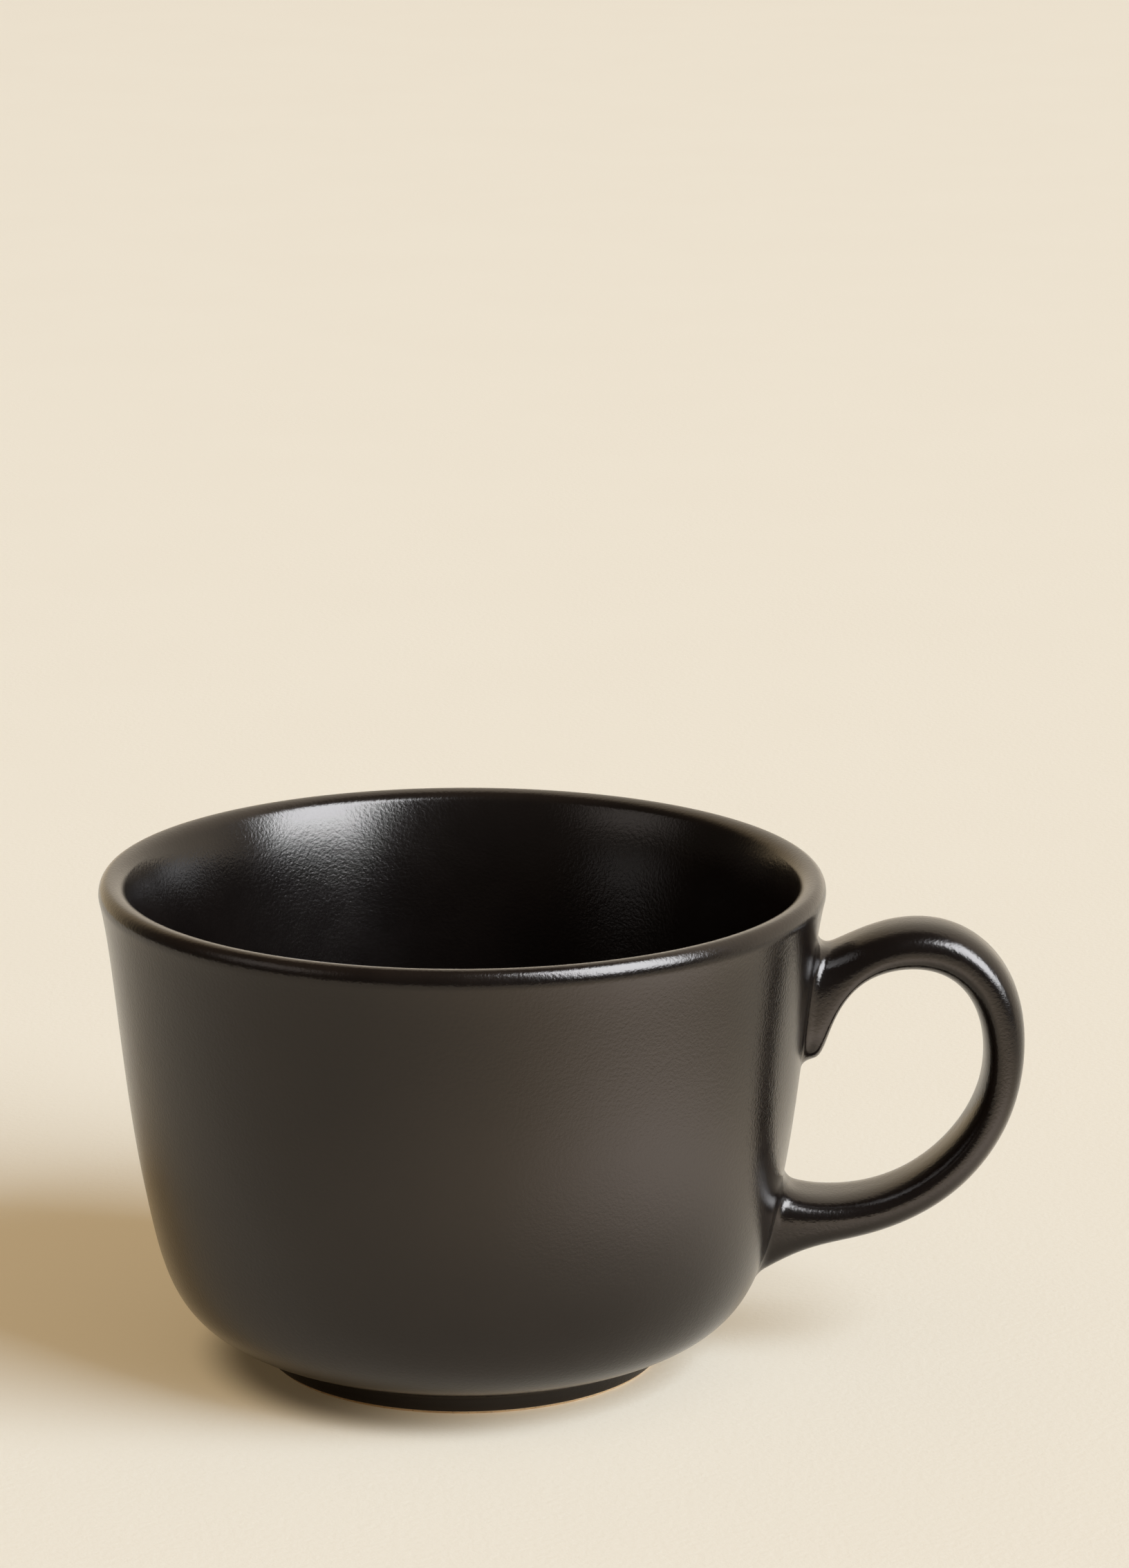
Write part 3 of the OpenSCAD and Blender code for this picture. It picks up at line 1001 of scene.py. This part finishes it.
@dataclass(frozen=True)
class SoftBox:
    """A soft box by its direction from the cup and its angular size, in degrees."""

    name: str
    azimuth: float
    elevation: float
    distance: float
    width: float
    height: float
    radiance: float
    colour: Colour
    even_share: float = 1.0

    def soften(self, data: Light) -> None:
        """Lets the light fall off smoothly from its even middle to its edges.

        Args:
            data: The light.
        """
        wiring = Wiring.fresh(data)
        place = wiring.node("ShaderNodeNewGeometry").outputs["Parametric"]
        part = wiring.node("ShaderNodeSeparateXYZ", {0: place}).outputs
        shares = [wiring.math("ABSOLUTE", wiring.math("MULTIPLY_ADD", part[axis], 2.0, -1.0)) for axis in "XY"]
        glow = wiring.math("MULTIPLY", *[wiring.ramp(share, 1.0, self.even_share) for share in shares])
        light = wiring.node("ShaderNodeEmission", {"Strength": glow})
        wiring.node("ShaderNodeOutputLight", {"Surface": light.outputs[0]})

    def place(self) -> Object:
        """Puts the light in its place, turned to the cup.

        Returns:
            The light's object.
        """
        data = bpy.data.lights.new(self.name, "AREA")
        data.shape = "RECTANGLE"
        data.size = 2 * self.distance * math.tan(math.radians(self.width / 2))
        data.size_y = 2 * self.distance * math.tan(math.radians(self.height / 2))
        data.energy = self.radiance * math.pi * data.size * data.size_y
        data.color = self.colour
        if self.even_share < 1.0:
            self.soften(data)
        flat, rise = along(self.elevation)
        towards = Vector((*(flat * along(self.azimuth)), rise))
        light = new_object(self.name, data)
        light.location = self.distance * towards
        light.rotation_euler = towards.to_track_quat("Z", "Y").to_euler()
        light.visible_camera = False
        return light


@dataclass
class Studio:
    """The pale floor, the soft lights and the camera."""

    camera_place: Triple = (15.4 * MM, -809.1 * MM, 290.2 * MM)
    camera_pitch: float = 13.93
    camera_roll: float = 0.089
    focal_px: float = 8000.0
    image_h: int = 2268
    sensor: float = 36.0
    clip_end: float = 50.0
    near_floor_r: float = 0.5
    far_floor_r: float = 6.0
    floor_sides: int = 128
    key: SoftBox = SoftBox("key", -29.7, 31.0, 40.0, 34.0, 52.0, 10.15, (0.645, 0.807, 1.0))
    mirrored_box: SoftBox = SoftBox("mirrored_box", -34.5, 36.0, 1.6, 50.0, 61.0, 18.5, (0.94, 1.01, 1.10), 0.45)
    left_card: SoftBox = SoftBox("left_card", -153.0, 26.0, 1.6, 50.0, 36.0, 0.98, (1.0, 0.95, 0.93), 0.1)
    fill_strength: float = 1.23
    fill_colour: Colour = (1.0, 0.80, 0.50)
    ambient: Colour = (0.232, 0.186, 0.132)
    backdrop: Colour = (1.1, 0.97, 0.79)
    left_backdrop: Colour = (0.95, 0.74, 0.46)
    dark_side: Colour = (0.07, 0.062, 0.054)
    seen_backdrop: Colour = (0.84, 0.755, 0.63)
    left_pull: float = 0.55
    right_pull: float = 0.25
    behind_range: tuple[float, float] = (-0.1, 0.5)
    below_range: tuple[float, float] = (0.98, 0.82)
    right_range: tuple[float, float] = (-0.7, 0.1)

    def add_camera(self) -> None:
        """Puts the camera at the photograph's viewing angle."""
        data = bpy.data.cameras.new("camera")
        data.sensor_width = self.sensor
        data.lens = self.focal_px * self.sensor / self.image_h
        data.clip_end = self.clip_end
        camera = new_object("camera", data)
        camera.location = self.camera_place
        turn = Euler((math.radians(90.0 - self.camera_pitch), 0.0, 0.0)).to_matrix()
        roll = Matrix.Rotation(math.radians(self.camera_roll), 3, "Z")
        camera.rotation_euler = (turn @ roll).to_euler()
        bpy.context.scene.camera = camera

    def add_floor(self, paper: Material) -> None:
        """Lays the floor: a near disc that the glaze mirrors, and a far ring that it doesn't.

        Args:
            paper: Material of the floor.
        """
        count = self.floor_sides
        circle = [along(360.0 * i / count) for i in range(count)]
        disc = [tuple(range(count))]
        ring = [(count + i, i, (i + 1) % count, count + (i + 1) % count) for i in range(count)]
        for name, radii, faces in (("near_floor", (self.near_floor_r,), disc),
                                   ("far_floor", (self.far_floor_r, self.near_floor_r), ring)):
            mesh = bpy.data.meshes.new(name)
            mesh.from_pydata([(*(r * c), 0.0) for r in radii for c in circle], [], faces)
            mesh.materials.append(paper)
            floor = new_object(name, mesh)
            floor.visible_glossy = faces is disc

    def add_lights(self) -> None:
        """Adds the key light that casts the shadow, the boxes that the glaze mirrors, and a fill from above."""
        self.key.place().visible_glossy = False
        for box in (self.mirrored_box, self.left_card):
            box.place().visible_diffuse = False
        data = bpy.data.lights.new("fill", "SUN")
        data.energy = self.fill_strength
        data.color = self.fill_colour
        data.use_shadow = False
        new_object("fill", data).visible_glossy = False

    def add_world(self) -> None:
        """Adds a studio that is bright behind the cup, dimmer at the left and dark towards the camera."""
        world = bpy.data.worlds.new("studio")
        bpy.context.scene.world = world
        wiring = Wiring.fresh(world)
        way = wiring.node("ShaderNodeTexCoord").outputs["Generated"]
        part = wiring.node("ShaderNodeSeparateXYZ", {0: way}).outputs
        left = wiring.math("MULTIPLY", wiring.math("MINIMUM", part["X"], 0.0), self.left_pull)
        side = wiring.math("MULTIPLY_ADD", wiring.math("MAXIMUM", part["X"], 0.0), self.right_pull, left)
        behind = wiring.ramp(wiring.math("ADD", part["Y"], side), *self.behind_range)
        low = wiring.ramp(part["Z"], *self.below_range)
        backdrop = wiring.blend(wiring.ramp(part["X"], *self.right_range), self.left_backdrop, self.backdrop)
        mirrored = wiring.blend(wiring.math("MULTIPLY", behind, low), self.dark_side, backdrop)
        path = wiring.node("ShaderNodeLightPath").outputs
        lit = wiring.blend(path["Is Glossy Ray"], self.ambient, mirrored)
        seen = wiring.blend(path["Is Camera Ray"], lit, self.seen_backdrop)
        sky = wiring.node("ShaderNodeBackground", {"Color": seen})
        wiring.node("ShaderNodeOutputWorld", {"Surface": sky.outputs[0]})
        bpy.context.scene.view_settings.view_transform = "Standard"

    def build(self, paper: Material) -> None:
        """Sets up the camera, the floor and the lights.

        Args:
            paper: Material of the floor.
        """
        self.add_camera()
        self.add_floor(paper)
        self.add_lights()
        self.add_world()


def main() -> None:
    """Builds the cup piece by piece, then the studio around it."""
    logging.basicConfig(level=logging.INFO, format="%(name)s: %(message)s")
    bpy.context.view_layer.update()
    groups = SurfaceGroups()
    bowl = ThrownBowl.from_frame()
    edges = (ThinEdge(bowl.height, reach=2.0 * MM, share=0.25), ThinEdge(bowl.bare_edge_h, reach=0.9 * MM, share=0.4))
    glaze = GlazeFinish(thin_edges=edges).make(groups)
    clay = ClayFinish("buff_clay", pale=(0.62, 0.42, 0.22), toasted=(0.48, 0.30, 0.14)).make(groups)
    slip = ClayFinish("joining_slip", pale=(0.44, 0.27, 0.14), toasted=(0.33, 0.19, 0.09)).make(groups)
    bowl.build(TurnedOutline(), glaze, clay)
    LoopHandle(bowl).build(glaze, clay, slip)
    Studio().build(PaperFinish().make(groups))


if __name__ == "__main__":
    main()
